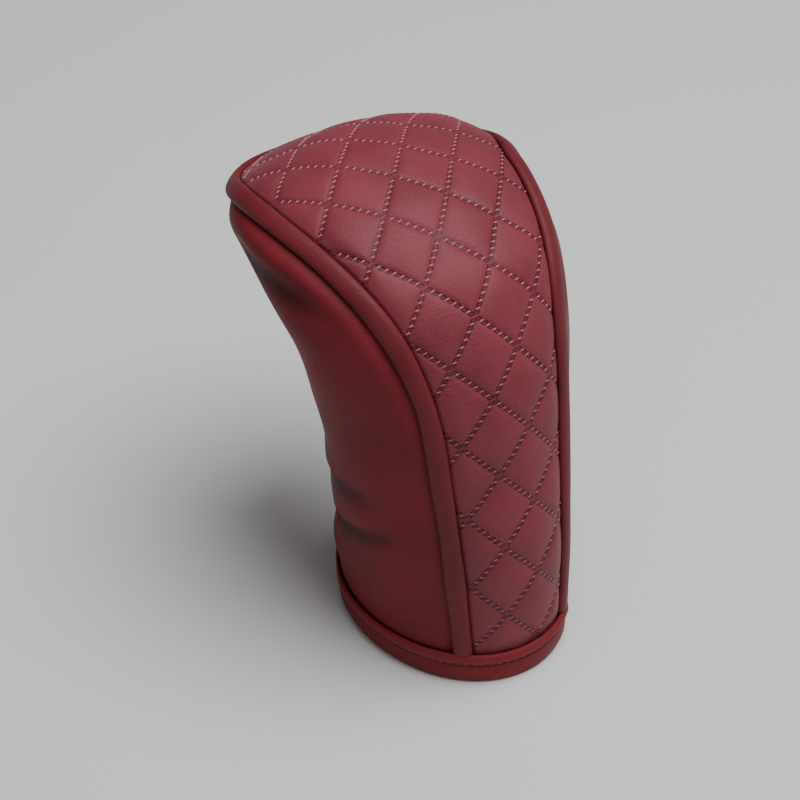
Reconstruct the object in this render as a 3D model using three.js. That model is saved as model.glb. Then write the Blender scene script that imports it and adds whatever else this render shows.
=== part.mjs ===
// Driver head cover: a padded slip-on hood for the head of a golf driver.
//
// Millimetres, +Z up.  The cover stands on its open hem at z = 0, the nose overhangs
// towards -X, the quilted back faces +X and the cover mirrors in the plane y = 0.
//
// Every shell piece is laid on one body surface.  Station s runs from the hem (0) to the
// nose tip (1).  Angle t runs round a station: 0 on the back line, +-PI on the front line.

import * as THREE from 'three';

// ---- Driving dimensions -------------------------------------------------------------

const OUTLINE_SHIFT = 39.4;      // moves the outline so that nose and back are centred in X

// One row per station: back line x, z; front line x, z; half width; welt angle in degrees.
const STATIONS = [
  { back: [66, 0], front: [-66, 0], halfWidth: 52, weltAngle: 33 },
  { back: [63, 55], front: [-64, 41], halfWidth: 55, weltAngle: 35 },
  { back: [53, 115], front: [-60, 80], halfWidth: 60, weltAngle: 35 },
  { back: [40, 171], front: [-59, 117], halfWidth: 66, weltAngle: 36 },
  { back: [14, 211], front: [-58, 147], halfWidth: 73, weltAngle: 43 },
  { back: [-34, 232], front: [-70, 169], halfWidth: 80, weltAngle: 54 },
  { back: [-89, 228], front: [-100, 183], halfWidth: 83, weltAngle: 68 },
  { back: [-144, 192], front: [-144, 192], halfWidth: 80, weltAngle: 90 },
];
const NOSE_ROUNDING = 6;         // power of the taper that rounds the nose in plan

const SKIN = 1.2;                // synthetic leather
const BATTING = 3.0;             // foam behind the leather
const LINING = 1.6;              // fleece
const GAP = 0.3;                 // between leather and batting
const LINING_GAP = 1.4;          // the lining hangs a little loose behind the batting
const FRONT_SEAM_HALF_GAP = 0.25;

const WELT_HALF_WIDTH = 5.5;
const WELT_MIDDLE = 0.6;         // height of the roll's middle above the body surface
const WELT_HALF_HEIGHT = 2.7;
const WELT_WALL = 1.0;
const WELT_SIDE_GAP = 0.4;       // between the roll and the panel edge

const PANEL_FOOT = 3.0;          // panels stop this far above the ground, inside the hem fold
const HEM_HEIGHT = 18.5;
const HEM_LEAF = 1.2;            // leather of the folded hem band
const HEM_FOLD_FLOOR = 2.0;
const HEM_INNER_TOP = 16.0;
const HEM_STITCH_HEIGHT = 11.6;
const HEM_THREAD_RADIUS = 0.45;

const WELT_STEPS = 26;           // along one half of the welt
const CROWN_ROWS = 28;
const SIDE_ROWS = 22;
const PANEL_COLUMNS = 12;
const HEM_STEPS = 64;

// ---- Body surface -------------------------------------------------------------------

const spline = (pick) =>
  new THREE.SplineCurve(STATIONS.map((station) => new THREE.Vector2(...pick(station))));
const backLine = spline((station) => station.back);
const frontLine = spline((station) => station.front);
const widthAndWelt = spline((station) => [station.halfWidth, station.weltAngle]);

function section(s) {
  const back = backLine.getPoint(s);
  const front = frontLine.getPoint(s);
  const { x: halfWidth, y: weltAngle } = widthAndWelt.getPoint(s);
  return {
    centre: back.clone().add(front).multiplyScalar(0.5),
    axis: back.clone().sub(front).normalize(),
    deep: back.distanceTo(front) / 2,
    wide: halfWidth * Math.sqrt(Math.max(0, 1 - s ** NOSE_ROUNDING)),
    weltAngle: THREE.MathUtils.degToRad(weltAngle),
  };
}

// Point on the body, moved inwards by depth within the station's own plane.
function bodyPoint(s, t, depth = 0) {
  const { centre, axis, deep, wide } = section(s);
  const along = (deep - depth) * Math.cos(t);
  return new THREE.Vector3(
    centre.x + axis.x * along + OUTLINE_SHIFT,
    (wide - depth) * Math.sin(t),
    centre.y + axis.y * along,
  );
}

function bodyNormal(s, t) {
  const step = 0.002;
  const low = Math.min(s, 1 - 2 * step);
  const alongS = bodyPoint(low + step, t).sub(bodyPoint(low - step, t));
  const alongT = bodyPoint(low, t + step).sub(bodyPoint(low, t - step));
  return alongT.cross(alongS).normalize();
}

// Finds where test turns from true (at yes) to false (at no).
function turningPoint(yes, no, test) {
  for (let i = 0; i < 40; i += 1) {
    const middle = (yes + no) / 2;
    if (test(middle)) yes = middle;
    else no = middle;
  }
  return yes;
}

const stationAtHeight = (t, z) => turningPoint(0, 0.3, (s) => bodyPoint(s, t).z < z);

// ---- Welt path ----------------------------------------------------------------------

const weltStart = turningPoint(
  0, 0.3, (s) => bodyPoint(s, section(s).weltAngle).z < HEM_HEIGHT + WELT_SIDE_GAP);

function weltHalf(side) {
  return Array.from({ length: WELT_STEPS + 1 }, (_, i) => {
    const s = 1 - (1 - weltStart) * (1 - i / WELT_STEPS) ** 1.5;
    const t = side * section(s).weltAngle;
    return { point: bodyPoint(s, t), normal: bodyNormal(s, t) };
  });
}

const weltPath = [...weltHalf(-1), ...weltHalf(1).reverse().slice(1)];
weltPath[WELT_STEPS].point.y = 0;
weltPath[WELT_STEPS].normal.y = 0;
weltPath[WELT_STEPS].normal.normalize();

function distanceToWelt(point) {
  const nearest = new THREE.Vector3();
  const pieces = weltPath.slice(1).map((end, i) => {
    new THREE.Line3(weltPath[i].point, end.point).closestPointToPoint(point, true, nearest);
    return nearest.distanceTo(point);
  });
  return Math.min(...pieces);
}

// Angle where a panel ends beside the welt at station s, on the side towards `far`.
function edgeAngle(s, far) {
  const reach = WELT_HALF_WIDTH + WELT_SIDE_GAP;
  if (bodyPoint(s, 0).z < HEM_HEIGHT) {
    const { deep, wide, weltAngle } = section(s);
    const pace = Math.hypot(deep * Math.sin(weltAngle), wide * Math.cos(weltAngle));
    return weltAngle + Math.sign(far - weltAngle) * (reach / pace);
  }
  return turningPoint(
    far, section(s).weltAngle, (t) => distanceToWelt(bodyPoint(s, t)) > reach);
}

// Last station a panel reaches before the welt turns round the nose.
function lastStation(t) {
  const reach = WELT_HALF_WIDTH + WELT_SIDE_GAP;
  return turningPoint(0.8, 1, (s) => distanceToWelt(bodyPoint(s, t)) > reach) - 0.0006;
}

// Last station with room inside for a layer that reaches this deep.
const stationWithRoom = (depth) => turningPoint(0.8, 1, (s) => section(s).deep > depth + 1.2);

// ---- Meshes -------------------------------------------------------------------------

function mesh(name, positions, indices, material) {
  const geometry = new THREE.BufferGeometry();
  geometry.setAttribute('position', new THREE.Float32BufferAttribute(positions, 3));
  geometry.setIndex(indices);
  geometry.computeVertexNormals();
  const result = new THREE.Mesh(geometry, material);
  result.name = name;
  return result;
}

// Closed padded sheet between two grids of points with the same rows and columns.
function sheet(name, outer, inner, material) {
  const rows = outer.length;
  const columns = outer[0].length;
  const positions = [...outer.flat(), ...inner.flat()].flatMap((point) => point.toArray());
  const at = (layer, row, column) => (layer * rows + row) * columns + column;
  const indices = [];
  const quad = (a, b, c, d) => indices.push(a, b, c, a, c, d);
  for (let r = 0; r < rows - 1; r += 1) {
    for (let c = 0; c < columns - 1; c += 1) {
      quad(at(0, r, c), at(0, r, c + 1), at(0, r + 1, c + 1), at(0, r + 1, c));
      quad(at(1, r, c), at(1, r + 1, c), at(1, r + 1, c + 1), at(1, r, c + 1));
    }
    quad(at(0, r, 0), at(0, r + 1, 0), at(1, r + 1, 0), at(1, r, 0));
    quad(at(1, r, columns - 1), at(1, r + 1, columns - 1),
      at(0, r + 1, columns - 1), at(0, r, columns - 1));
  }
  for (let c = 0; c < columns - 1; c += 1) {
    quad(at(1, 0, c), at(1, 0, c + 1), at(0, 0, c + 1), at(0, 0, c));
    quad(at(0, rows - 1, c), at(0, rows - 1, c + 1),
      at(1, rows - 1, c + 1), at(1, rows - 1, c));
  }
  return mesh(name, positions, indices, material);
}

// Closed skin round a list of rings.  Loops join the last ring to the first; otherwise the
// two ends are closed by the given hole rings (a tube) or by a cap (a solid rod).
function sweep(name, rings, material, { loop = false, hole = null } = {}) {
  const size = rings[0].length;
  const count = rings.length;
  const points = [...rings.flat(), ...(hole ? hole.flat() : [])];
  const indices = [];
  const quad = (a, b, c, d) => indices.push(a, b, c, a, c, d);
  const at = (ring, corner, start = 0) => start + (ring % count) * size + (corner % size);
  const holeStart = count * size;
  for (let r = 0; r < (loop ? count : count - 1); r += 1) {
    for (let c = 0; c < size; c += 1) {
      quad(at(r, c), at(r, c + 1), at(r + 1, c + 1), at(r + 1, c));
      if (hole) {
        quad(at(r, c, holeStart), at(r + 1, c, holeStart),
          at(r + 1, c + 1, holeStart), at(r, c + 1, holeStart));
      }
    }
  }
  if (!loop && hole) {
    for (let c = 0; c < size; c += 1) {
      quad(at(0, c), at(0, c, holeStart), at(0, c + 1, holeStart), at(0, c + 1));
      quad(at(count - 1, c), at(count - 1, c + 1),
        at(count - 1, c + 1, holeStart), at(count - 1, c, holeStart));
    }
  }
  if (!loop && !hole) {
    for (let c = 1; c < size - 1; c += 1) {
      indices.push(at(0, 0), at(0, c + 1), at(0, c));
      indices.push(at(count - 1, 0), at(count - 1, c), at(count - 1, c + 1));
    }
  }
  return mesh(name, points.flatMap((point) => point.toArray()), indices, material);
}

// ---- Panels -------------------------------------------------------------------------

// Stations from the foot to the last one, closer together towards the nose.
function stationsTo(last, rows) {
  return Array.from({ length: rows + 1 }, (_, i) => last * (1 - (1 - i / rows) ** 1.5));
}

// Grid of body points between the two angles that range(s) gives.
function panelGrid(stations, columns, range, depth) {
  return stations.map((station) => {
    const [low, high] = range(station);
    return Array.from({ length: columns + 1 }, (_, c) => {
      const t = THREE.MathUtils.lerp(low, high, c / columns);
      const s = station > 0 ? station : stationAtHeight(t, PANEL_FOOT);
      return bodyPoint(s, t, depth);
    });
  });
}

const crownRange = (s) => {
  const edge = edgeAngle(s, 0);
  return [-edge, edge];
};
const rightRange = (s) => [edgeAngle(s, Math.PI), Math.PI - FRONT_SEAM_HALF_GAP / section(s).wide];
const leftRange = (s) => rightRange(s).map((t) => -t).reverse();

const battingTop = SKIN + GAP;
const battingFloor = battingTop + BATTING;
const liningTop = battingFloor + LINING_GAP;
const liningFloor = liningTop + LINING;

const leather = (colour) =>
  new THREE.MeshStandardMaterial({ color: colour, roughness: 0.5, metalness: 0 });
const cloth = (colour) =>
  new THREE.MeshStandardMaterial({ color: colour, roughness: 0.95, metalness: 0 });
const quiltLeather = leather(0x6e2b35);
const smoothLeather = leather(0x5c1f27);
const weltLeather = leather(0x70303a);
const hemLeather = leather(0x64262e);
const foam = cloth(0xe6dfcf);
const fleece = cloth(0x2a2226);
const cotton = cloth(0xd9d2c3);
const thread = cloth(0xb4707a);

const cover = new THREE.Group();
cover.name = 'driver_head_cover';

const panels = [
  { side: 'crown', skin: 'quilted_panel', stations: stationsTo(lastStation(0), CROWN_ROWS),
    range: crownRange, colour: quiltLeather },
  { side: 'left', skin: 'left_side_panel', stations: stationsTo(lastStation(Math.PI), SIDE_ROWS),
    range: leftRange, colour: smoothLeather },
  { side: 'right', skin: 'right_side_panel', stations: stationsTo(lastStation(Math.PI), SIDE_ROWS),
    range: rightRange, colour: smoothLeather },
];

for (const { side, skin, stations, range, colour } of panels) {
  const layer = (list, depth) => panelGrid(list, PANEL_COLUMNS, range, depth);
  const battingStations = stations.filter((s) => s < stationWithRoom(battingFloor));
  const liningStations = stations.filter(
    (s, i) => i % 2 === 0 && s < stationWithRoom(liningFloor));
  cover.add(sheet(skin, layer(stations, 0), layer(stations, SKIN), colour));
  cover.add(sheet(`${side}_batting`, layer(battingStations, battingTop),
    layer(battingStations, battingFloor), foam));
  cover.add(sheet(`${side}_lining`, layer(liningStations, liningTop),
    layer(liningStations, liningFloor), fleece));
}

// ---- Welt: a leather tube over a filler cord, round the whole quilted panel -------------

function weltRings(inset, corners) {
  return weltPath.map(({ point, normal }, i) => {
    const before = weltPath[Math.max(0, i - 1)].point;
    const after = weltPath[Math.min(weltPath.length - 1, i + 1)].point;
    const tangent = after.clone().sub(before).normalize();
    const across = tangent.clone().cross(normal).normalize();
    const up = across.clone().cross(tangent);
    return Array.from({ length: corners }, (_, c) => {
      const angle = -2 * Math.PI * c / corners;
      const x = (WELT_HALF_WIDTH - inset) * Math.cos(angle);
      const y = WELT_MIDDLE + (WELT_HALF_HEIGHT - inset) * Math.sin(angle);
      return point.clone().addScaledVector(across, x).addScaledVector(up, y);
    });
  });
}

cover.add(sweep('welt_cover', weltRings(0, 12), weltLeather, { hole: weltRings(WELT_WALL, 12) }));
cover.add(sweep('welt_cord', weltRings(WELT_WALL + GAP, 12), cotton));

// ---- Hem: a folded band whose rolled lip stands out above the stitch line -----------------

const clear = 0.5;               // between the hem leaves and the panels inside the fold
const innerLeaf = -(liningFloor + clear);
const hemProfile = [             // outwards from the body surface, height
  [HEM_LEAF + clear, 0],
  [HEM_LEAF + clear + 0.2, 6],
  [HEM_LEAF + clear, HEM_STITCH_HEIGHT - 1.2],
  [clear + 0.4, HEM_STITCH_HEIGHT],
  [HEM_LEAF + clear + 0.6, HEM_STITCH_HEIGHT + 1.2],
  [HEM_LEAF + clear + 1.5, HEM_HEIGHT - 3.4],
  [HEM_LEAF + clear + 1.0, HEM_HEIGHT - 1.0],
  [clear, HEM_HEIGHT],
  [clear, HEM_FOLD_FLOOR],
  [innerLeaf, HEM_FOLD_FLOOR],
  [innerLeaf, HEM_INNER_TOP],
  [innerLeaf - HEM_LEAF, HEM_INNER_TOP],
  [innerLeaf - HEM_LEAF, 0],
];

function hemRings(profile) {
  return Array.from({ length: HEM_STEPS }, (_, k) => {
    const t = 2 * Math.PI * k / HEM_STEPS;
    return profile.toReversed().map(([out, z]) => {
      const point = bodyPoint(stationAtHeight(t, z), t, -out);
      point.z = z;
      return point;
    });
  });
}

const stitchOut = clear + 0.4 + HEM_THREAD_RADIUS + 0.35;
const threadProfile = [[1, 0], [0, 1], [-1, 0], [0, -1]].map(([out, up]) =>
  [stitchOut + out * HEM_THREAD_RADIUS, HEM_STITCH_HEIGHT + up * HEM_THREAD_RADIUS]);

cover.add(sweep('hem_band', hemRings(hemProfile), hemLeather, { loop: true }));
cover.add(sweep('hem_thread', hemRings(threadProfile), thread, { loop: true }));

export default cover;
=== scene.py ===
import math

import bpy
import numpy as np
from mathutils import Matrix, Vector


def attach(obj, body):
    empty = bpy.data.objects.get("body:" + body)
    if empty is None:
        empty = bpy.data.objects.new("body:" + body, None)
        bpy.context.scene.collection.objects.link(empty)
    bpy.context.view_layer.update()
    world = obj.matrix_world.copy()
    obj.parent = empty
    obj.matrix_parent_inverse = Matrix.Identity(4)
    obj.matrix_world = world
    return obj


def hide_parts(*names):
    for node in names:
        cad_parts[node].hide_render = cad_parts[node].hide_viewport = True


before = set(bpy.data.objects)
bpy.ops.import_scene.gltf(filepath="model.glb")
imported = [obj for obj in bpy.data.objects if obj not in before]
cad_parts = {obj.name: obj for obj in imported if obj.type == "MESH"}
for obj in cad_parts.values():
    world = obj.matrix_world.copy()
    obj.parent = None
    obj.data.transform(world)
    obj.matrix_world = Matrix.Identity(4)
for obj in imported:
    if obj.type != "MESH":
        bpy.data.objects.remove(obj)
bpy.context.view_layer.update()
MM = 0.001

# ---- Camera ---------------------------------------------------------------------------
# It looks down on the quilted back from the left side, at a cover about 1.2 m away.
LOOK_AT = Vector((-0.0085, 0.0, 0.0939))
LOOK_FROM_SIDE = math.radians(32.8)     # turned from the +X axis towards -Y
LOOK_DOWN = math.radians(39.5)
DISTANCE = 1.2
SENSOR, LENS = 36, 108


def camera():
    data = bpy.data.cameras.new("camera")
    data.lens, data.sensor_width = LENS, SENSOR
    cam = bpy.data.objects.new("camera", data)
    bpy.context.scene.collection.objects.link(cam)
    towards = Vector((math.cos(LOOK_DOWN) * math.cos(LOOK_FROM_SIDE),
                      -math.cos(LOOK_DOWN) * math.sin(LOOK_FROM_SIDE),
                      math.sin(LOOK_DOWN)))
    cam.location = LOOK_AT + towards * DISTANCE
    cam.rotation_euler = (-towards).to_track_quat("-Z", "Y").to_euler()
    bpy.context.scene.camera = cam


camera()

# ---- Body surface, as in the CAD part: millimetres, station s, angle t -------------------
OUTLINE_SHIFT = 39.4
# back line x, z; front line x, z; half width; welt angle in degrees
STATIONS = np.array([
    (66, 0, -66, 0, 52, 33),
    (63, 55, -64, 41, 55, 35),
    (53, 115, -60, 80, 60, 35),
    (40, 171, -59, 117, 66, 36),
    (14, 211, -58, 147, 73, 43),
    (-34, 232, -70, 169, 80, 54),
    (-89, 228, -100, 183, 83, 68),
    (-144, 192, -144, 192, 80, 90),
], float)
NOSE_ROUNDING = 6
HEM_HEIGHT = 18.5
PANEL_FOOT = 3.0
SKIN, BATTING, LINING = 1.2, 3.0, 1.6


def stations_at(s):
    """Uniform Catmull-Rom curve through the stations."""
    last = len(STATIONS) - 1
    x = np.clip(np.asarray(s, float), 0, 1) * last
    i = np.minimum(x.astype(int), last - 1)
    w = (x - i)[..., None]
    before, here = STATIONS[np.maximum(i - 1, 0)], STATIONS[i]
    there, after = STATIONS[i + 1], STATIONS[np.minimum(i + 2, last)]
    v0, v1 = (there - before) / 2, (after - here) / 2
    return ((2 * here - 2 * there + v0 + v1) * w ** 3
            + (3 * there - 3 * here - 2 * v0 - v1) * w ** 2 + v0 * w + here)


def section(s):
    row = stations_at(s)
    back, front = row[..., 0:2], row[..., 2:4]
    deep = np.linalg.norm(back - front, axis=-1) / 2
    axis = (back - front) / np.maximum(2 * deep, 1e-6)[..., None]
    wide = row[..., 4] * np.sqrt(np.clip(1 - np.asarray(s, float) ** NOSE_ROUNDING, 0, 1))
    return (back + front) / 2, axis, deep, wide, np.radians(row[..., 5])


def body(s, t, out=0.0):
    """Points of the body surface, moved outwards by `out` within the station's plane."""
    s, t, out = np.broadcast_arrays(*(np.asarray(x, float) for x in (s, t, out)))
    centre, axis, deep, wide, _ = section(s)
    along = (deep + out) * np.cos(t)
    return np.stack([centre[..., 0] + axis[..., 0] * along + OUTLINE_SHIFT,
                     (wide + out) * np.sin(t),
                     centre[..., 1] + axis[..., 1] * along], axis=-1)


def smooth(x, low=0.0, high=1.0):
    x = np.clip((x - low) / (high - low), 0, 1)
    return x * x * (3 - 2 * x)


def station_at_height(t, z):
    """Station where the body surface at angle t reaches height z near the hem."""
    s = np.linspace(0, 0.3, 300)
    return np.array([np.interp(z, body(s, np.full(300, a))[:, 2], s)
                     for a in np.ravel(t)]).reshape(np.shape(t))


# ---- Welt path --------------------------------------------------------------------------
WELT_HALF_WIDTH, WELT_HALF_HEIGHT, WELT_WALL = 4.9, 2.5, 1.0
WELT_MIDDLE = 0.2                # height of the roll's middle over the body surface
WELT_FOOT = 1.5                  # how far its ends reach down behind the hem's lip
WELT_STEPS = 230                 # points along each arm, from its foot to the nose
CROWDING = 1.5                   # exponent that crowds steps and rows towards the nose
# The right welt is sewn lower than the left: a little up its side, more over the top, and
# not at the nose. Each drop grows between two stations.
SIDE_DROP, SIDE_DROP_GROWS = math.radians(2), (0.5, 0.62)
TOP_DROP, TOP_DROP_GROWS = math.radians(24), (0.715, 0.835)
DROP_ENDS = (0.985, 1)
TIP_TAPER, TAPER_REACH = 0.35, 30        # the roll is thinner at the nose
NOSE_TUCK, TUCK_REACH = 0.5, 55          # the panels reach further under the roll there


def welt_angle(s, side):
    """Angle of the welt at station s. side is -1 for the left arm and 1 for the right."""
    drop = SIDE_DROP * smooth(s, *SIDE_DROP_GROWS) + TOP_DROP * smooth(s, *TOP_DROP_GROWS)
    drop = drop * (1 - smooth(s, *DROP_ENDS))
    return side * (section(s)[4] + (drop if side > 0 else 0))


def welt_path():
    """Points and outward normals along the welt, from the left foot round the nose."""
    s = np.linspace(0, 0.2, 400)
    start = np.interp(HEM_HEIGHT - WELT_FOOT, body(s, section(s)[4])[:, 2], s)
    s = 1 - (1 - start) * (1 - np.linspace(0, 1, WELT_STEPS)) ** CROWDING
    sides = []
    for side in (-1, 1):
        t = welt_angle(s, side)
        step = 0.002
        low = np.minimum(s, 1 - 2 * step)
        normal = np.cross(body(low, t + step) - body(low, t - step),
                          body(low + step, t) - body(low - step, t))
        sides.append((body(s, t), normal / np.linalg.norm(normal, axis=1)[:, None]))
    (left, left_normal), (right, right_normal) = sides
    tip = left_normal[-1] + right_normal[-1]
    left_normal[-1] = tip / np.linalg.norm(tip)
    return (np.concatenate([left, right[-2::-1]]),
            np.concatenate([left_normal, right_normal[-2::-1]]))


welt_points, welt_normals = welt_path()
nose_tip = welt_points[WELT_STEPS - 1]
to_tip = np.linalg.norm(welt_points - nose_tip, axis=1)
welt_scale = 1 - TIP_TAPER * np.exp(-(to_tip / TAPER_REACH) ** 2)
tuck = 1 - NOSE_TUCK * np.exp(-(to_tip / TUCK_REACH) ** 2)


def welt_distance(points):
    """Distance from the welt, counted longer at the nose, where the panels tuck under it."""
    flat = points.reshape(-1, 3)
    found = np.empty(len(flat))
    batch = 20000
    for i in range(0, len(flat), batch):
        squares = ((flat[i:i + batch, None, :] - welt_points) ** 2).sum(-1)
        found[i:i + batch] = np.sqrt((squares / tuck ** 2).min(1))
    return found.reshape(points.shape[:-1])


# ---- Mesh helpers -----------------------------------------------------------------------
def piece(name, points, faces, material, uv=None, shade=None):
    """A new object in millimetres. uv and shade hold one value per point."""
    mesh = bpy.data.meshes.new(name)
    mesh.from_pydata((points * MM).tolist(), [], [list(face) for face in faces])
    mesh.polygons.foreach_set("use_smooth", np.ones(len(mesh.polygons), bool))
    if uv is not None:
        loops = np.zeros(len(mesh.loops), int)
        mesh.loops.foreach_get("vertex_index", loops)
        layer = mesh.uv_layers.new(name="cut")
        layer.data.foreach_set("uv", uv[loops].astype(np.float32).ravel())
    if shade is not None:
        layer = mesh.attributes.new("shade", "FLOAT", "POINT")
        layer.data.foreach_set("value", shade.astype(np.float32).ravel())
    mesh.update()
    obj = bpy.data.objects.new(name, mesh)
    bpy.context.scene.collection.objects.link(obj)
    obj.data.materials.append(material)
    return obj


def grid_faces(rows, columns, start=0, flip=False):
    """Quads of a grid whose first point has the index `start`."""
    r, c = np.meshgrid(np.arange(rows - 1), np.arange(columns - 1), indexing="ij")
    here = r * columns + c
    quads = np.stack([here, here + 1, here + columns + 1, here + columns], -1)
    quads = quads.reshape(-1, 4) + start
    return quads[:, ::-1] if flip else quads


def closed_sheet(outer, inner):
    """Points and faces of a closed sheet between two grids of the same shape."""
    rows, columns = outer.shape[:2]
    count = rows * columns
    index = np.arange(count).reshape(rows, columns)
    border = np.concatenate([index[0, :-1], index[:-1, -1], index[-1, :0:-1], index[:0:-1, 0]])
    after = np.roll(border, -1)
    rim = np.stack([border, border + count, after + count, after], -1)
    faces = np.concatenate([grid_faces(rows, columns),
                            grid_faces(rows, columns, count, flip=True), rim])
    return np.concatenate([outer.reshape(-1, 3), inner.reshape(-1, 3)]), faces


def swept(rings, loop=False, hole=None):
    """Closed skin round rings of points: a loop, a rod with flat ends, or a tube."""
    count, size = rings.shape[:2]
    index = np.arange(count * size).reshape(count, size)

    def side(grid, flip):
        a, b = grid, np.roll(grid, -1, 1)
        if not loop:
            a, b, c, d = a[:-1], b[:-1], b[1:], a[1:]
        else:
            c, d = np.roll(b, -1, 0), np.roll(a, -1, 0)
        quads = np.stack([a, b, c, d], -1).reshape(-1, 4)
        return quads[:, ::-1] if flip else quads

    faces = side(index, False).tolist()
    points = rings.reshape(-1, 3)
    if hole is not None:
        inner = index + count * size
        points = np.concatenate([points, hole.reshape(-1, 3)])
        faces += side(inner, True).tolist()
        for outer_end, inner_end, flip in ((index[0], inner[0], False),
                                           (index[-1], inner[-1], True)):
            quads = np.stack([outer_end, inner_end, np.roll(inner_end, -1),
                              np.roll(outer_end, -1)], -1)
            faces += (quads[:, ::-1] if flip else quads).tolist()
    elif not loop:
        faces += [index[0, ::-1].tolist(), index[-1].tolist()]
    return points, faces


def put(obj, slot, *nodes):
    """Fix a piece to the cover and hide the CAD nodes that it stands for; its finish, slot, is not
    used.
    """
    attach(obj, "root")
    if nodes:
        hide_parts(*nodes)
    return obj


# ---- Materials --------------------------------------------------------------------------
class Nodes:
    """Short way to add nodes to one material."""

    def __init__(self, name):
        self.material = bpy.data.materials.new(name)
        self.material.use_nodes = True
        self.tree = self.material.node_tree
        self.shader = self.tree.nodes["Principled BSDF"]
        self.place = self.add("ShaderNodeTexCoord").outputs["Object"]

    def add(self, kind, **values):
        node = self.tree.nodes.new(kind)
        for key, value in values.items():
            setattr(node, key, value)
        return node

    def link(self, source, target):
        self.tree.links.new(source, target)

    def fill(self, socket, value):
        if isinstance(value, bpy.types.NodeSocket):
            self.link(value, socket)
        else:
            socket.default_value = value

    def math(self, operation, *values, clamp=False):
        node = self.add("ShaderNodeMath", operation=operation, use_clamp=clamp)
        for socket, value in zip(node.inputs, values):
            self.fill(socket, value)
        return node.outputs[0]

    def noise(self, scale, detail=3.0, roughness=0.5, place=None):
        node = self.add("ShaderNodeTexNoise")
        self.link(place or self.place, node.inputs["Vector"])
        node.inputs["Scale"].default_value = scale
        node.inputs["Detail"].default_value = detail
        node.inputs["Roughness"].default_value = roughness
        return node.outputs["Fac"]

    def cells(self, scale, place=None):
        node = self.add("ShaderNodeTexVoronoi", feature="DISTANCE_TO_EDGE")
        self.link(place or self.place, node.inputs["Vector"])
        node.inputs["Scale"].default_value = scale
        return node.outputs["Distance"]

    def range(self, value, low, high, to_low=0.0, to_high=1.0):
        node = self.add("ShaderNodeMapRange", interpolation_type="SMOOTHSTEP")
        for socket, x in zip(node.inputs, (value, low, high, to_low, to_high)):
            self.fill(socket, x)
        return node.outputs[0]

    def mix(self, factor, a, b):
        node = self.add("ShaderNodeMix", data_type="RGBA")
        self.fill(node.inputs["Factor"], factor)
        self.fill(node.inputs["A"], a)
        self.fill(node.inputs["B"], b)
        return node.outputs["Result"]

    def bump(self, height, distance, strength=1.0, normal=None):
        node = self.add("ShaderNodeBump")
        node.inputs["Distance"].default_value = distance
        node.inputs["Strength"].default_value = strength
        self.link(height, node.inputs["Height"])
        if normal:
            self.link(normal, node.inputs["Normal"])
        return node.outputs["Normal"]

    def value(self, name, value):
        self.fill(self.shader.inputs[name], value)


def rgba(r, g, b):
    return (r, g, b, 1.0)


def leather(name, colour, deep, gloss=0.2, lanes=None):
    """Embossed synthetic leather with painted shade: the mesh's shade darkens folds, seams and
    grooves, lanes adds it in stitch pits.
    """
    n = Nodes(name)
    cloud = n.noise(28.0, 4.0)
    speck = n.noise(900.0, 2.0)
    tone = n.math("ADD", n.math("MULTIPLY", cloud, 0.7), n.math("MULTIPLY", speck, 0.3))
    plain = n.mix(n.range(tone, 0.35, 0.65), rgba(*[c * 0.86 for c in colour]),
                  rgba(*[min(1, c * 1.12) for c in colour]))
    # Painted shade: the colour goes towards deep where the mesh's shade or the stitch pits ask for
    # it.
    shade = n.add("ShaderNodeAttribute", attribute_name="shade").outputs["Fac"]
    if lanes is not None:
        shade = n.math("MAXIMUM", shade, lanes(n))
    n.value("Base Color", n.mix(shade, plain, rgba(*deep)))
    grain = n.range(n.cells(750.0), 0.0, 0.22)
    wrinkle = n.noise(170.0, 5.0, 0.62)
    if lanes is not None:
        wrinkle = n.math("ADD", wrinkle, crinkles(n))
    height = n.math("ADD", n.math("MULTIPLY", grain, 0.5), wrinkle)
    n.value("Normal", n.bump(height, 0.0004, 0.3))
    n.value("Roughness", n.range(cloud, 0.3, 0.7, 0.47, 0.59))
    n.value("Specular IOR Level", gloss)
    n.value("Sheen Weight", 0.04 if lanes else 0.0)
    n.value("Sheen Roughness", 0.4)
    n.value("Sheen Tint", rgba(0.95, 0.62, 0.72))
    return n.material


def cloth(name, colour, dark, scale, sheen=0.3):
    """Foam, fleece or cotton: tufts of two tones at the given scale."""
    n = Nodes(name)
    tuft = n.noise(scale, 4.0, 0.6)
    n.value("Base Color", n.mix(n.range(tuft, 0.3, 0.7), rgba(*dark), rgba(*colour)))
    n.value("Normal", n.bump(tuft, 0.0006, 0.8))
    n.value("Roughness", n.range(tuft, 0.2, 0.8, 0.9, 0.78))
    n.value("Sheen Weight", sheen)
    return n.material


def thread_material(name, colour, dark):
    """Thread, painted paler towards the top of the cover as a painted highlight."""
    n = Nodes(name)
    twist = n.noise(1600.0, 2.0)
    split = n.add("ShaderNodeSeparateXYZ")
    n.link(n.place, split.inputs[0])
    # Painted highlight: paler thread towards the top of the cover.
    top_highlight = n.range(split.outputs["Z"], 0.15, 0.215)
    plain = n.mix(n.range(twist, 0.35, 0.65), rgba(*dark), rgba(*colour))
    n.value("Base Color", n.mix(top_highlight, plain, rgba(*[1.45 * c for c in colour])))
    n.value("Normal", n.bump(twist, 0.0002, 0.6))
    n.value("Roughness", n.range(twist, 0.3, 0.7, 0.48, 0.62))
    n.value("Sheen Weight", 0.2)
    return n.material


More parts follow.
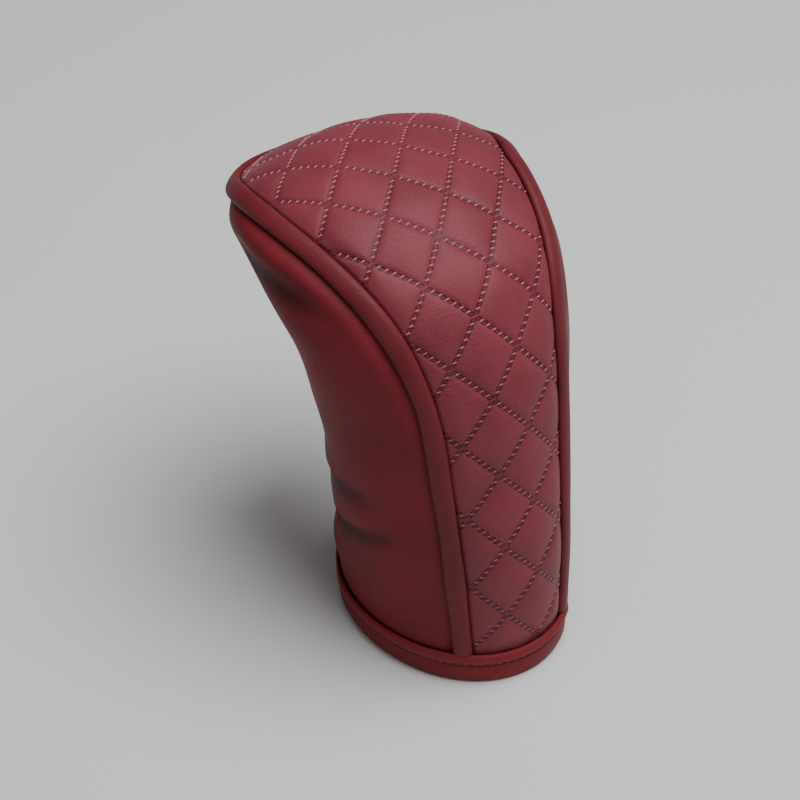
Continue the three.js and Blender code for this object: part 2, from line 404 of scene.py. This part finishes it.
# ---- Quilting lattice: millimetres across from the middle line and along from the hem ------
HALF_ACROSS, HALF_ALONG = 17.0, 20.2       # half diagonals of a diamond
CROSSING_ACROSS, CROSSING_ALONG = -26.6, 102.6
LEAN = 0.017                               # the rows drift across by this much per mm
LINE_SPACING = 26.0                        # between two parallel stitch lines
STITCH_PITCH = 3.75
SIDE_LENGTH = math.hypot(HALF_ACROSS, HALF_ALONG)
STITCHES_PER_SIDE = round(SIDE_LENGTH / STITCH_PITCH)
LANE_HALF = 1.6                            # half width of one stitched lane
PUFF, LANE_DEPTH = 1.05, 0.5               # height of the padding, depth of a lane
PUFF_REACH, LANE_REACH = 4.6, 1.9          # how far from a stitch line each one starts


def lattice(across, along):
    """Counts of stitch lines of both families. Whole numbers lie on a line."""
    i = (across - CROSSING_ACROSS - LEAN * (along - CROSSING_ALONG)) / HALF_ACROSS
    j = (along - CROSSING_ALONG) / HALF_ALONG
    return (i + j) / 2, (i - j) / 2


def quilting(across, along):
    """Height of the padded diamonds over the base surface, sunk along the lanes."""
    height = np.full(np.shape(across), PUFF)
    sunk = np.zeros(np.shape(across))
    for count in lattice(across, along):
        off = np.abs(count - np.round(count)) * LINE_SPACING
        height = height * (1 - np.exp(-(off / PUFF_REACH) ** 1.3))
        sunk = np.maximum(sunk, np.exp(-(off / LANE_REACH) ** 4))
    return height - LANE_DEPTH * sunk


def crinkles(n):
    """Fine creases across the leather, strongest low beside the left welt."""
    uv = n.add("ShaderNodeUVMap", uv_map="cut").outputs["UV"]
    split = n.add("ShaderNodeSeparateXYZ")
    n.link(uv, split.inputs[0])
    stretched = n.add("ShaderNodeCombineXYZ")
    n.fill(stretched.inputs[0], n.math("MULTIPLY", split.outputs["X"], 0.22))
    n.fill(stretched.inputs[1], n.math("MULTIPLY", split.outputs["Y"], 0.75))
    lines = n.range(n.noise(1.0, 3.0, 0.6, place=stretched.outputs[0]), 0.42, 0.62)
    where = n.math("MULTIPLY", n.range(split.outputs["X"], 5, -25),
                   n.range(split.outputs["Y"], 230, 170))
    return n.math("MULTIPLY", lines, n.math("MULTIPLY", where, 2.2))


def stitch_pit_shade(n):
    """Painted shade in the pits of the stitch lanes, from the cut coordinates in the uv layer."""
    uv = n.add("ShaderNodeUVMap", uv_map="cut").outputs["UV"]
    split = n.add("ShaderNodeSeparateXYZ")
    n.link(uv, split.inputs[0])
    up = n.math("SUBTRACT", split.outputs["Y"], CROSSING_ALONG)
    middle_row = n.math("ADD", n.math("MULTIPLY", up, LEAN), CROSSING_ACROSS)
    i = n.math("DIVIDE", n.math("SUBTRACT", split.outputs["X"], middle_row), HALF_ACROSS)
    j = n.math("DIVIDE", up, HALF_ALONG)
    p = n.math("MULTIPLY", n.math("ADD", i, j), 0.5)
    r = n.math("MULTIPLY", n.math("SUBTRACT", i, j), 0.5)
    offs = [n.math("MULTIPLY", n.math("ABSOLUTE", n.math("SUBTRACT", count, n.math(
        "ROUND", count))), LINE_SPACING) for count in (p, r)]
    masks = []
    for count, run, off, other in ((p, r, offs[0], None), (r, p, offs[1], offs[0])):
        slant = n.math("MULTIPLY", n.math("SUBTRACT", n.math("ROUND", count), count), 5.0)
        phase = n.math("FRACT", n.math("ADD", n.math("MULTIPLY", run, STITCHES_PER_SIDE), slant))
        from_middle = n.math("ABSOLUTE", n.math("SUBTRACT", phase, 0.5))
        pit = n.math("MULTIPLY", n.range(off, LANE_HALF, LANE_HALF - 0.6),
                     n.range(from_middle, 0.36, 0.24))
        bar = n.math("MULTIPLY", n.range(off, 0.8, 0.3), n.range(from_middle, 0.22, 0.06))
        pit = n.math("MULTIPLY", pit, n.math("SUBTRACT", 1.0, n.math("MULTIPLY", bar, 0.7)))
        if other is not None:
            pit = n.math("MULTIPLY", pit, n.range(other, LANE_HALF * 0.6, LANE_HALF * 1.1))
        masks.append(pit)
    patchy = n.math("MULTIPLY", n.range(n.noise(60.0), 0.3, 0.7, 0.65, 1.0),
                    n.range(split.outputs["Y"], 245, 320, 1.0, 0.4))
    return n.math("MULTIPLY", n.math("MAXIMUM", *masks), patchy)


# Part of the green and blue in the quilted and smooth leathers' colours is a painted sheen, more in
# the quilted one; the deep red is the leathers' own. Each second colour is that of the painted
# shade.
quilt_leather = leather("quilted_leather", (0.208, 0.034, 0.047), (0.05, 0.004, 0.007),
                        gloss=0.24, lanes=stitch_pit_shade)
smooth_leather = leather("smooth_leather", (0.172, 0.017, 0.0245), (0.028, 0.0015, 0.0025),
                         gloss=0.15)
welt_leather = leather("welt_leather", (0.150, 0.018, 0.024), (0.03, 0.002, 0.003))
hem_leather = leather("hem_leather", (0.185, 0.016, 0.022), (0.03, 0.002, 0.003))
thread = thread_material("thread", (0.36, 0.115, 0.15), (0.24, 0.065, 0.09))
hem_thread = thread_material("hem_thread", (0.26, 0.055, 0.07), (0.16, 0.03, 0.04))
foam = cloth("batting", (0.78, 0.73, 0.62), (0.60, 0.55, 0.45), 700.0)
fleece = cloth("fleece", (0.045, 0.034, 0.038), (0.018, 0.012, 0.014), 420.0, sheen=0.6)
cotton = cloth("cotton_cord", (0.70, 0.65, 0.55), (0.5, 0.45, 0.36), 900.0)

# ---- Panels -----------------------------------------------------------------------------
EDGE_REACH = 3.7                 # how near the middle of the welt a panel's edge comes
EDGE_STEPS = 160                 # steps of the search for that edge
FOOT_TOP = 30                    # below this height the edge runs straight down
SEAM_GAP = 0.1                   # between the side panels along the front seam


def panel_edges(far, stations, side):
    """Angle beside the welt at each station, going from the welt towards `far`."""
    edges = []
    for s in stations:
        start = welt_angle(s, side)
        t = start + (far - start) * np.linspace(0, 1, EDGE_STEPS)
        row = body(np.full(EDGE_STEPS, s), t)
        distance = welt_distance(row)
        if body(s, 0)[2] < FOOT_TOP:
            distance = np.cumsum(np.linalg.norm(np.gradient(row, axis=0), axis=1))
        beyond = np.nonzero(distance > EDGE_REACH)[0]
        k = beyond[0] if len(beyond) else EDGE_STEPS - 1
        w = (EDGE_REACH - distance[k - 1]) / max(distance[k] - distance[k - 1], 1e-9)
        edges.append(t[k - 1] + (t[k] - t[k - 1]) * min(max(w, 0), 1))
    return np.array(edges)


def last_station(t):
    """Station where a panel ends below the welt at the nose."""
    s = np.linspace(0.8, 1, 800)
    clear = welt_distance(body(s, np.full(len(s), t))) > EDGE_REACH
    return s[np.nonzero(clear)[0][-1]] - 0.0004


class Panel:
    """Grid over one panel: where its points are on the body, across and along its cut."""

    def __init__(self, side, rows, columns):
        self.side = side
        far = 0.0 if side == "crown" else math.pi
        x = np.linspace(0, 1, rows)
        self.s = last_station(far) * (1 - (1 - x) ** CROWDING)
        share = np.linspace(0, 1, columns)
        seam = math.pi - SEAM_GAP / 2 / section(self.s)[3]
        if side == "crown":
            low, high = (panel_edges(far, self.s, hand) for hand in (-1, 1))
        elif side == "right":
            low, high = panel_edges(far, self.s, 1), seam
        else:
            low, high = -seam, panel_edges(-far, self.s, -1)
        self.t = low[:, None] + (high - low)[:, None] * share
        self.stations = np.repeat(self.s[:, None], columns, 1)
        self.stations[0] = station_at_height(self.t[0], PANEL_FOOT)
        base = self.at(0.0)
        steps = np.linalg.norm(np.diff(base, axis=1), axis=2)
        across = np.concatenate([np.zeros((rows, 1)), np.cumsum(steps, 1)], 1)
        if side == "crown":
            across -= np.array([[np.interp(0, t, a)] for t, a in zip(self.t, across)])
        elif side == "left":
            across -= across[:, [-1]]
        self.across = across
        back = body(self.s, 0.0)
        paces = np.linalg.norm(np.diff(back, axis=0), axis=1)
        self.along = np.concatenate([[0], np.cumsum(paces)])
        self.base = base
        self.to_welt = welt_distance(base)
        self.cut = np.stack([self.across, np.repeat(self.along[:, None], columns, 1)], -1)

    def at(self, out):
        return body(self.stations, self.t, out)

    def from_seam(self):
        """Distance from the front seam, on a side panel."""
        seam_column = 0 if self.side == "left" else -1
        return np.abs(self.across - self.across[:, [seam_column]])

    def beside_welt(self, reach):
        """0 at the panel's edge, growing to 1 at this distance from it."""
        return smooth(self.to_welt, EDGE_REACH, EDGE_REACH + reach)


def waves(points, seed, amplitude, lengths=(70, 45, 28)):
    """Soft unevenness of hand-sewn leather: a few seeded waves through space."""
    random = np.random.default_rng(seed)
    total = np.zeros(points.shape[:-1])
    for length in lengths:
        direction = random.normal(size=3)
        direction *= 2 * math.pi / length / np.linalg.norm(direction)
        total += np.sin(points @ direction + random.uniform(0, 6)) * length / lengths[0]
    return total * amplitude


def foot_fade(panel):
    """0 behind the hem, growing to 1 a little above it."""
    return smooth(panel.base[..., 2], HEM_HEIGHT - 1, HEM_HEIGHT + 9)


def leather_skin(name, panel, out, material, shade):
    """A panel's leather, its outside moved out by `out`, with its cut in the uv layer."""
    points, faces = closed_sheet(panel.at(out), panel.at(out - SKIN))
    return piece(name, points, faces, material,
                 uv=np.concatenate([panel.cut.reshape(-1, 2)] * 2),
                 shade=np.concatenate([shade.ravel(), np.full(shade.size, WRONG_SIDE_SHADE)]))


# Form of the quilted panel, in mm
CROWN_FULLNESS = 1.3             # height of its stuffing
CROWN_ROLL = 1.3                 # how far its edges roll down under the welt
BRIM = 3.0                       # swelling along the welt at the nose
FAR_SLOPE = 1.6                  # how much lower the top lies on its right half
EDGE_PUFF = 0.25                 # share of the quilting's relief that is left beside the welt
FLATTER_TOP = 0.5                # share of it that is lost on the right half of the top
WRONG_SIDE_SHADE = 0.2


def crown_form(panel):
    """Stuffed form of the quilted panel, without its quilting."""
    x, y, z = np.moveaxis(panel.base, -1, 0)
    rise = panel.beside_welt(12)
    roll = 1 - panel.beside_welt(3.2)
    low = FAR_SLOPE * smooth(y, -10, 25) * smooth(z, 205, 222) * smooth(x, -75, -45)
    brim = (1 - smooth(x, -70, -35)) * smooth(y, -40, -10) * panel.beside_welt(6)
    off_tip = smooth(np.linalg.norm(panel.base - nose_tip, axis=-1), 4, 16)
    stuffing = (waves(panel.base, 5, 0.35) + CROWN_FULLNESS) * rise * foot_fade(panel)
    return stuffing + BRIM * brim - low * rise - CROWN_ROLL * roll * off_tip


def crown_piece():
    panel = Panel("crown", 330, 141)
    across, along = panel.cut[..., 0], panel.cut[..., 1]
    flatter = FLATTER_TOP * smooth(across, 15, 45) * smooth(along, 200, 250)
    kept = np.minimum(EDGE_PUFF + (1 - EDGE_PUFF) * panel.beside_welt(9), foot_fade(panel))
    out = crown_form(panel) + quilting(across, along) * (1 - flatter) * kept
    # Painted shade in the groove between the quilted panel and the welt.
    shade = 0.6 * (1 - smooth(panel.to_welt, EDGE_REACH + 0.4, EDGE_REACH + 2.0))
    skin = leather_skin("quilted_leather_panel", panel, out, quilt_leather, shade)
    put(skin, "quilted_leather", "quilted_panel")
    panel.top = panel.at(out)
    return panel


def grain_shape(length, width, height, around=8, rings=5):
    """A stitch: a thin rounded grain lying along x."""
    a = np.linspace(0, 2 * math.pi, around, endpoint=False)
    b = np.linspace(-1, 1, rings)
    profile = np.sqrt(np.clip(1 - np.abs(b * 0.96) ** 3, 0.02, 1))
    x = np.repeat(b[:, None] * length / 2, around, 1)
    y = profile[:, None] * np.cos(a) * width / 2
    z = profile[:, None] * np.sin(a) * height / 2
    return swept(np.stack([x, y, z], -1))


def scatter(shape, centres, along, normals):
    """One mesh of many copies of a shape, each turned to its own direction and normal."""
    points, faces = shape
    along = along / np.linalg.norm(along, axis=1)[:, None]
    side = np.cross(normals, along)
    side /= np.linalg.norm(side, axis=1)[:, None]
    up = np.cross(along, side)
    turned = np.stack([along, side, up], 1)
    placed = centres[:, None] + points @ turned
    faces = [[v + k * len(points) for v in face] for k in range(len(centres)) for face in faces]
    return placed.reshape(-1, 3), faces


def on_panel(panel, grid, across, along):
    """Points of a panel's grid at places of its cut; outside the panel they are nan."""
    found = np.full((len(across), 3), np.nan)
    rows = np.interp(along, panel.along, np.arange(len(panel.along)), left=-1, right=-1)
    for k, (u, row) in enumerate(zip(across, rows)):
        if row < 0 or row >= len(panel.along) - 1:
            continue
        r = int(row)
        line = panel.across[r] * (1 - row + r) + panel.across[r + 1] * (row - r)
        if not line[2] < u < line[-3]:
            continue
        c = np.interp(u, line, np.arange(len(line)))
        i = int(c)
        w = c - i
        low = grid[r, i] * (1 - w) + grid[r, i + 1] * w
        high = grid[r + 1, i] * (1 - w) + grid[r + 1, i + 1] * w
        found[k] = low + (high - low) * (row - r)
    return found


QUILT_BAR = (2.2, 0.75, 0.7)     # length, width and height of one bar of thread
BAR_LIFT = 0.12                  # height of its middle over the leather
BAR_SLANT = 0.7
MOST_LINES = 12                  # stitch lines on each side of the lattice's zero
INNER_POINT = np.array([0, 0, 60])       # every normal of the quilted panel points away from it


def quilting_stitches(panel):
    """Raised bars of thread across every stitch lane, one between each two pits."""
    bars, leans, normals = [], [], []
    count = np.arange(-MOST_LINES, MOST_LINES + 1)
    run = np.arange(-MOST_LINES, MOST_LINES, 1 / STITCHES_PER_SIDE)
    for family in (0, 1):
        line, place = (x.ravel() for x in np.meshgrid(count, run, indexing="ij"))
        p, r = (line, place) if family == 0 else (place, line)

        def cut(dp, dr):
            i, j = (p + dp) + (r + dr), (p + dp) - (r + dr)
            up = HALF_ALONG * j
            return (CROSSING_ACROSS + HALF_ACROSS * i + LEAN * up, CROSSING_ALONG + up)

        step = 0.02
        here = on_panel(panel, panel.top, *cut(0, 0))
        by_p = on_panel(panel, panel.top, *cut(step, 0)) - here
        by_r = on_panel(panel, panel.top, *cut(0, step)) - here
        crossing = np.abs(place - np.round(place)) < 0.3 / STITCHES_PER_SIDE
        good = np.isfinite(by_p + by_r).all(1) & ~crossing
        good &= here[:, 2] > HEM_HEIGHT + 3
        good[good] &= welt_distance(here[good]) > WELT_HALF_WIDTH + 1.5
        normal = np.cross(by_p, by_r)
        normal *= np.sign((normal * (here - INNER_POINT)).sum(1))[:, None]
        bars.append(here[good])
        leans.append((by_p + BAR_SLANT * by_r)[good])
        normals.append((normal / np.linalg.norm(normal, axis=1)[:, None])[good])
    centres, normals = np.concatenate(bars), np.concatenate(normals)
    points, faces = scatter(grain_shape(*QUILT_BAR), centres + normals * BAR_LIFT,
                            np.concatenate(leans), normals)
    put(piece("quilting_stitches", points, faces, thread), "thread")


# Soft folds of the smooth panels: both ends as distance from the front seam and height,
# then width and depth, all in mm. A negative depth is a swelling.
FOLDS = (
    ((62, 86), (106, 99), 5.5, 2.4),
    ((64, 54), (118, 80), 4.8, 2.2),
    ((82, 76), (108, 89), 5.0, -1.0),
    ((20, 31), (68, 34), 9.0, -2.2),
    ((50, 112), (74, 113), 14.0, 1.2),
    ((85, 200), (118, 203), 7.5, 2.2),
    ((90, 182), (112, 186), 9.0, -1.0),
)
DEEPEST = 2.2                    # a fold this deep gets the full crease shade
# What differs between the two sides: the waves' seed, the share of the folds and the painted
# shade in them, the swelling along the welt, the dip under it and the hollow at mid height.
SIDES = {
    "left": dict(seed=11, folds=1.0, creases=0.85, swelling=1.2, dip=1.3, hollow=0.0),
    "right": dict(seed=12, folds=0.45, creases=0.3, swelling=-0.6, dip=3.0, hollow=2.4),
}
SEAM_DIP = 0.9


def folds(from_seam, height):
    """Height of the folds at each place of a smooth panel, negative in a fold."""
    total = np.zeros(height.shape)
    for (u, z), (end_u, end_z), width, depth in FOLDS:
        du, dz = end_u - u, end_z - z
        w = np.clip(((from_seam - u) * du + (height - z) * dz) / (du * du + dz * dz), 0, 1)
        off = np.hypot(from_seam - u - w * du, height - z - w * dz)
        total -= depth * np.exp(-(off / width) ** 2) * (1 - 0.5 * w ** 3)
    return total


def side_form(panel):
    """Stuffed form of a smooth panel: dip beside the welt, folds and the front seam."""
    own = SIDES[panel.side]
    height, near = panel.base[..., 2], panel.to_welt
    from_seam = panel.from_seam()
    out = waves(panel.base, own["seed"], 0.5) * panel.beside_welt(11)
    out += own["folds"] * folds(from_seam, height) * smooth(near, 8, 20)
    out += own["swelling"] * np.exp(-((near - 13) / 6) ** 2) * smooth(height, 60, 150)
    out -= own["hollow"] * smooth(near, 8, 24) * np.exp(-((height - 165) / 45) ** 2)
    out -= SEAM_DIP * np.exp(-((from_seam - 0.25) / 1.6) ** 2)
    return out * foot_fade(panel) - own["dip"] * (1 - smooth(near, EDGE_REACH, 11))


def side_piece(side):
    panel = Panel(side, 240, 111)
    from_seam = panel.from_seam()
    # Painted shade: in the creases of the folds, along the front seam and in the groove beside the
    # welt.
    creases = np.clip(-folds(from_seam, panel.base[..., 2]) / DEEPEST, 0, 1)
    shade = SIDES[side]["creases"] * creases * smooth(panel.to_welt, 8, 24)
    shade = np.maximum(shade, 0.7 * np.exp(-(from_seam / 0.9) ** 2))
    shade = np.maximum(shade, 0.4 * (1 - panel.beside_welt(2.6)))
    skin = leather_skin(f"{side}_leather_panel", panel, side_form(panel), smooth_leather, shade)
    put(skin, "smooth_leather", f"{side}_side_panel")


# ---- Batting and lining, inside -----------------------------------------------------------
LAYER_GAP = 0.4                  # between the leather and the foam
FOAM_DEPTH = SKIN + BATTING + 0.3        # of the foam's inner face below the body surface
FLEECE_GAP = 1.4                 # between the foam and the fleece
FLEECE_ROOM = FOAM_DEPTH + LINING + FLEECE_GAP
SEAM_SINK = 1.5                  # how much deeper the foam lies behind the front seam


def room(panel, depth):
    """Rows of a panel with room inside for a layer this deep."""
    return np.nonzero(section(panel.s)[2] > depth + 1.2)[0][-1] + 1


def inner_layers(side):
    """The foam behind a panel's leather, and the fleece that lines it."""
    panel = Panel(side, 110, 61)
    if side == "crown":
        top = crown_form(panel) - LANE_DEPTH - SKIN - LAYER_GAP
    else:
        sink = SEAM_SINK * np.exp(-(panel.from_seam() / 2) ** 2)
        top = side_form(panel) - SKIN - LAYER_GAP - sink
    floor = np.minimum(top - 1.0, -FOAM_DEPTH)
    rows = room(panel, FOAM_DEPTH)
    points, faces = closed_sheet(panel.at(top)[:rows], panel.at(floor)[:rows])
    pad = piece(f"{side}_foam", points, faces, foam)
    put(pad, "batting", f"{side}_batting")
    rows = room(panel, FLEECE_ROOM)
    outer = panel.at(floor - FLEECE_GAP)[:rows]
    tufts = waves(panel.base, 31, 0.25, (9, 6, 4))
    inner = panel.at(floor - FLEECE_GAP - LINING + tufts)[:rows]
    points, faces = closed_sheet(outer, inner)
    lining = piece(f"{side}_fleece", points, faces, fleece)
    put(lining, "lining", f"{side}_lining")


# ---- Welt and its cord ------------------------------------------------------------------
CORD_HALF_WIDTH, CORD_HALF_HEIGHT = 2.9, 1.1
WELT_CORNERS, CORD_CORNERS = 28, 12
WELT_UNEVEN = 0.03               # share by which the roll's thickness varies


def welt_rings(half_width, half_height, corners, uneven=0.0):
    """Rings of a flattened round section along the welt, thinner at the nose."""
    tangent = np.gradient(welt_points, axis=0)
    tangent /= np.linalg.norm(tangent, axis=1)[:, None]
    across = np.cross(tangent, welt_normals)
    across /= np.linalg.norm(across, axis=1)[:, None]
    up = np.cross(across, tangent)
    a = -np.linspace(0, 2 * math.pi, corners, endpoint=False)
    swell = welt_scale * (1 + uneven * waves(welt_points, 21, 1.0, (60, 37, 23)))
    x = half_width * np.sign(np.cos(a)) * np.abs(np.cos(a)) ** 0.85
    y = half_height * np.sign(np.sin(a)) * np.abs(np.sin(a)) ** 0.95
    return (welt_points[:, None] + across[:, None] * (x * swell[:, None])[..., None]
            + up[:, None] * (WELT_MIDDLE + y * swell[:, None])[..., None])


def welt():
    hole = welt_rings(WELT_HALF_WIDTH - WELT_WALL, WELT_HALF_HEIGHT - WELT_WALL, WELT_CORNERS)
    points, faces = swept(
        welt_rings(WELT_HALF_WIDTH, WELT_HALF_HEIGHT, WELT_CORNERS, WELT_UNEVEN), hole=hole)
    obj = piece("rolled_welt", points, faces, welt_leather)
    put(obj, "welt_leather", "welt_cover")
    points, faces = swept(welt_rings(CORD_HALF_WIDTH, CORD_HALF_HEIGHT, CORD_CORNERS))
    cord = piece("filler_cord", points, faces, cotton)
    put(cord, "cotton_cord", "welt_cord")


# ---- Hem ----------------------------------------------------------------------------------
HEM_STEPS = 420                  # round the hem
HEM_LEVELS = 12                  # up the hem
HEM_STITCH_HEIGHT = 11.6
HEM_CLEAR = 0.5                  # from the body surface to the cuff
HEM_LEAF = 1.2                   # thickness of one layer of the cuff
HEM_INSIDE, HEM_TURN = 7.5, 16.0         # depth and height of the part turned inside
HEM_STITCH_PITCH = 4.2
HEM_STITCH = (2.9, 0.6, 0.6)     # length, width and height
# The lip lies flatter behind the right welt and round the front, between these angles.
LIP_FLATTER = 0.5
LIP_RIGHT, LIP_LEFT = (0.62, 0.75), (1.85, 2.15)


def rounded(corners, steps=5, share=0.35):
    """Closed outline with each corner rounded by a short curve."""
    corners = np.asarray(corners, float)
    outline = []
    for before, here, after in zip(np.roll(corners, 1, 0), corners, np.roll(corners, -1, 0)):
        start, end = here + (before - here) * share, here + (after - here) * share
        for w in np.linspace(0, 1, steps):
            outline.append((1 - w) ** 2 * start + 2 * w * (1 - w) * here + w * w * end)
    return np.array(outline)


def hem_profile():
    """Section of the folded cuff: distance out of the body surface, and height."""
    outer = HEM_LEAF + HEM_CLEAR
    inner = -(HEM_INSIDE + HEM_CLEAR)
    groove = HEM_STITCH_HEIGHT
    return rounded([
        (outer, 0), (outer + 0.5, 5), (outer + 0.1, groove - 1.4),
        (HEM_CLEAR + 0.5, groove), (outer + 0.9, groove + 1.1),
        (outer + 1.9, HEM_HEIGHT - 3.6), (outer + 1.2, HEM_HEIGHT - 0.6),
        (HEM_CLEAR, HEM_HEIGHT), (HEM_CLEAR, 2.0), (inner, 2.0), (inner, HEM_TURN),
        (inner - HEM_LEAF, HEM_TURN), (inner - HEM_LEAF, 0)])[::-1]


def hem_ring(t, profile, stations):
    """The cuff's section at one angle."""
    out, height = profile.T
    turn = math.remainder(t, 2 * math.pi)
    flatter = smooth(turn, *LIP_RIGHT) if turn > 0 else smooth(-turn, *LIP_LEFT)
    lip = 1 - LIP_FLATTER * flatter
    out = np.where(out > HEM_CLEAR, HEM_CLEAR + (out - HEM_CLEAR) * lip, out)
    ring = body(stations, np.full(len(profile), t), out)
    ring[:, 2] = height
    return ring


def hem():
    profile = hem_profile()
    angles = np.linspace(0, 2 * math.pi, HEM_STEPS, endpoint=False)
    heights = np.linspace(0, HEM_HEIGHT, HEM_LEVELS)
    s = np.stack([station_at_height(angles, z) for z in heights])
    rings = [hem_ring(t, profile, np.interp(profile[:, 1], heights, s[:, k]))
             for k, t in enumerate(angles)]
    points, faces = swept(np.array(rings), loop=True)
    # Painted shade in the groove of the hem's stitch line.
    lane = np.exp(-((profile[:, 1] - HEM_STITCH_HEIGHT) / 0.8) ** 2) * (profile[:, 0] > 0)
    shade = np.repeat((0.75 * lane)[None], HEM_STEPS, 0).ravel()
    obj = piece("hem_cuff", points, faces, hem_leather, shade=shade)
    put(obj, "hem_leather", "hem_band")
    level = np.argmin(np.abs(heights - HEM_STITCH_HEIGHT))
    hem_stitches(body(s[level], angles, HEM_CLEAR + 0.95))


def hem_stitches(path):
    """Single stitches at an even pitch in the groove, along a closed path round the hem."""
    path[:, 2] = HEM_STITCH_HEIGHT
    closed = np.vstack([path, path[:1]])
    paces = np.linalg.norm(np.diff(closed, axis=0), axis=1)
    length = np.concatenate([[0], np.cumsum(paces)])
    count = round(length[-1] / HEM_STITCH_PITCH)
    at = (np.arange(count) + 0.5) * length[-1] / count

    def place(distance):
        return np.stack([np.interp(distance, length, closed[:, k]) for k in range(3)], -1)

    centres = place(at)
    ahead = place((at + 1) % length[-1]) - centres
    normals = np.cross(ahead, np.array([0.0, 0.0, 1.0]))
    points, faces = scatter(grain_shape(*HEM_STITCH), centres, ahead, normals)
    put(piece("hem_stitches", points, faces, hem_thread), "thread", "hem_thread")


# ---- Floor and light ----------------------------------------------------------------------
FLOOR_HALF = 6.0                 # metres
AIM = Vector((0, 0, 0.12))       # where the lamp points, in metres
ROOM_DARK, ROOM_BRIGHT = 0.02, 0.34      # world strength away from and towards the bright side
BRIGHT_SIDE = (0.9, 0.15, 0.4)


def stage():
    n = Nodes("floor")
    n.value("Base Color", n.mix(n.noise(3.0), rgba(0.74, 0.74, 0.745), rgba(0.77, 0.77, 0.77)))
    n.value("Roughness", 0.75)
    mesh = bpy.data.meshes.new("floor")
    corners = [(x * FLOOR_HALF, y * FLOOR_HALF, 0) for x, y in ((-1, -1), (1, -1), (1, 1), (-1, 1))]
    mesh.from_pydata(corners, [], [(0, 1, 2, 3)])
    floor = bpy.data.objects.new("floor", mesh)
    bpy.context.scene.collection.objects.link(floor)
    floor.data.materials.append(n.material)


def lamp(name, direction, distance, size, power):
    """Round area lamp in a direction from the cover. Metres and watts."""
    data = bpy.data.lights.new(name, "AREA")
    data.shape, data.size, data.energy = "DISK", size, power
    lamp_object = bpy.data.objects.new(name, data)
    bpy.context.scene.collection.objects.link(lamp_object)
    towards = Vector(direction).normalized()
    lamp_object.location = AIM + towards * distance
    lamp_object.rotation_euler = (-towards).to_track_quat("-Z", "Y").to_euler()


def lights():
    """A large soft lamp overhead, in a dim room that is brighter on the quilted side."""
    world = bpy.data.worlds.new("world")
    world.use_nodes = True
    tree = world.node_tree
    place = tree.nodes.new("ShaderNodeTexCoord")
    side = tree.nodes.new("ShaderNodeVectorMath")
    side.operation = "DOT_PRODUCT"
    side.inputs[1].default_value = Vector(BRIGHT_SIDE).normalized()
    glow = tree.nodes.new("ShaderNodeMapRange")
    for socket, value in zip(glow.inputs[1:5], (-1.0, 1.0, ROOM_DARK, ROOM_BRIGHT)):
        socket.default_value = value
    background = tree.nodes["Background"]
    background.inputs["Color"].default_value = (1, 1, 1, 1)
    tree.links.new(place.outputs["Generated"], side.inputs[0])
    tree.links.new(side.outputs["Value"], glow.inputs[0])
    tree.links.new(glow.outputs[0], background.inputs["Strength"])
    bpy.context.scene.world = world
    lamp("key", (0.15, 0.2, 0.97), 1.7, 1.4, 36)


# ---- Assembly -----------------------------------------------------------------------------
quilting_stitches(crown_piece())
for hand in ("left", "right"):
    side_piece(hand)
for part in ("crown", "left", "right"):
    inner_layers(part)
welt()
hem()
stage()
lights()
